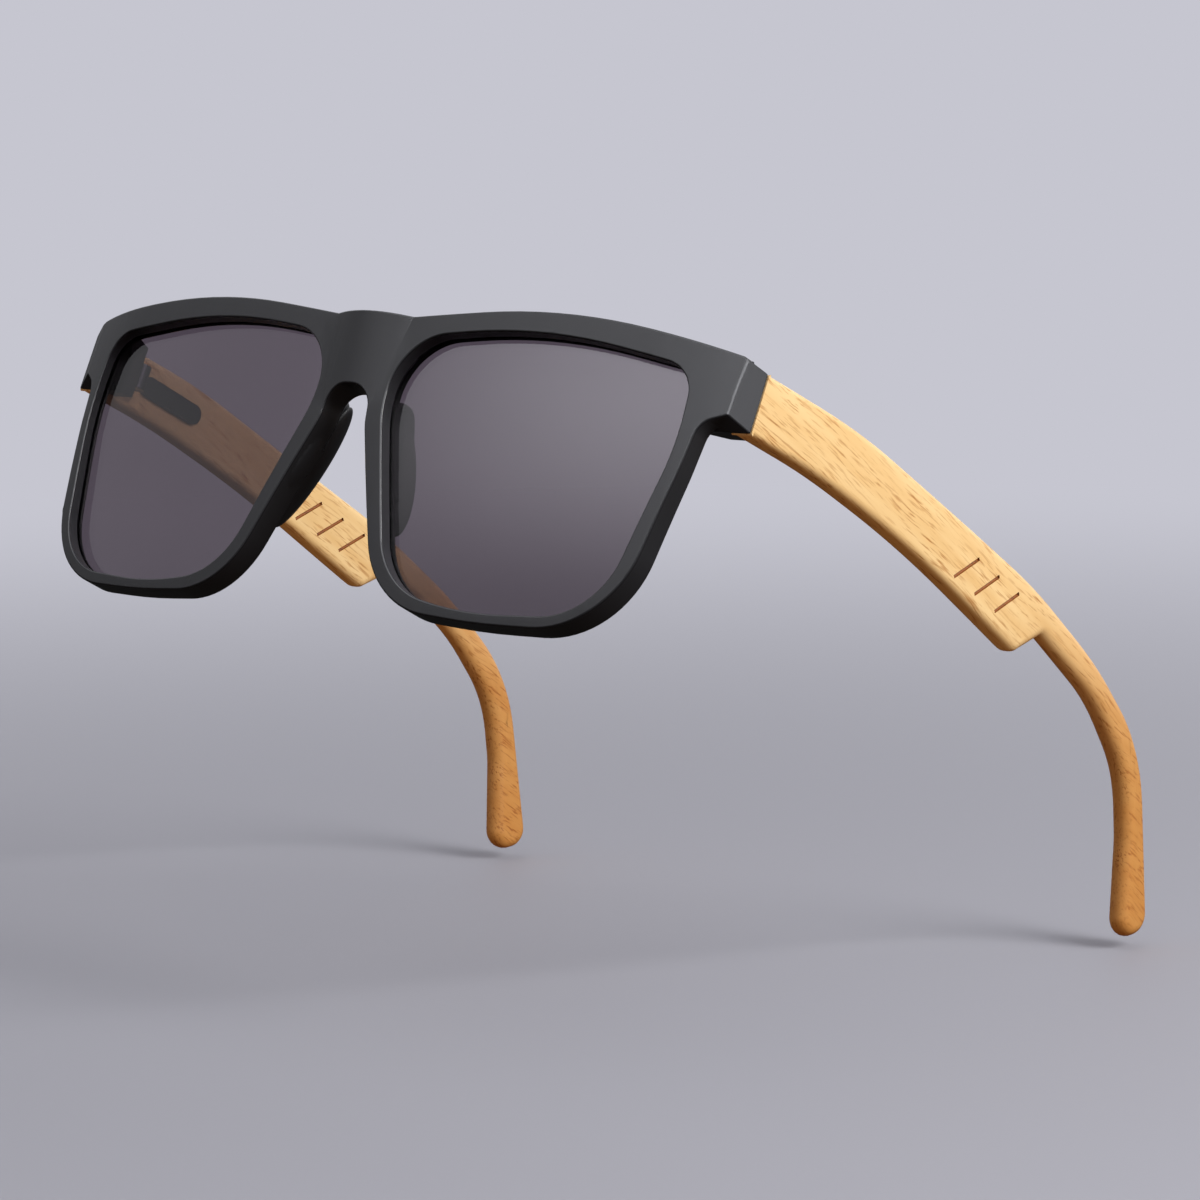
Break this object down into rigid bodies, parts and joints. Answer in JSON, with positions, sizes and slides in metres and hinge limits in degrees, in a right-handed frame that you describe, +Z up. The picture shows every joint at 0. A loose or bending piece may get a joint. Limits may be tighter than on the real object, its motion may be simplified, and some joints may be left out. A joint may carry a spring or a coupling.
{
  "type": "sunglasses",
  "caption": "Sunglasses with a moulded black front, tinted lenses and wooden temples that fold on sprung flex hinges",
  "frame": {"origin": "on the surface that the rims and temple tips stand on, under the middle of the bounding box", "axes": "+X to the wearer's left, -Y to the front, +Z up; the temples are open"},
  "size_m": [0.149, 0.1505, 0.0511],
  "materials": {
    "black_plastic": "fine matte",
    "tinted_lens": "polished, grey-violet tint",
    "honey_wood": "oiled, satin",
    "dark_metal": "dark satin plating",
    "bright_steel": "turned"
  },
  "bodies": {
    "front": {"front_frame": "black_plastic", "lens_left": "tinted_lens", "lens_right": "tinted_lens", "hinge_fork_left": "dark_metal", "hinge_fork_right": "dark_metal", "fork_screws_left": "bright_steel", "fork_screws_right": "bright_steel", "hinge_screw_left": "bright_steel", "hinge_screw_right": "bright_steel"},
    "left_slider": {"slider_left": "dark_metal", "end_nut_left": "bright_steel"},
    "left_temple": {"temple_left": "honey_wood", "spring_box_left": "dark_metal", "guide_bush_left": "bright_steel", "flex_spring_left": "bright_steel"},
    "right_slider": {"slider_right": "dark_metal", "end_nut_right": "bright_steel"},
    "right_temple": {"temple_right": "honey_wood", "spring_box_right": "dark_metal", "guide_bush_right": "bright_steel", "flex_spring_right": "bright_steel"}
  },
  "joints": [
    {"name": "left_fold", "type": "hinge", "parent": "front", "child": "left_slider", "pos_m": [0.0675, -0.05462, 0.04197], "axis": [0, 0, 1], "range_deg": [0, 92]},
    {"name": "left_flex", "type": "slide", "parent": "left_slider", "child": "left_temple", "axis": [0.0357, 0.9994, 0], "range_m": [0, 0.0015], "stiffness_N_per_m": 3000, "springref_m": -0.001, "deforming": ["flex_spring_left"]},
    {"name": "right_fold", "type": "hinge", "parent": "front", "child": "right_slider", "pos_m": [-0.0675, -0.05462, 0.04197], "axis": [0, 0, -1], "range_deg": [0, 87]},
    {"name": "right_flex", "type": "slide", "parent": "right_slider", "child": "right_temple", "axis": [-0.0357, 0.9994, 0], "range_m": [0, 0.0015], "stiffness_N_per_m": 3000, "springref_m": -0.001, "deforming": ["flex_spring_right"]}
  ]
}
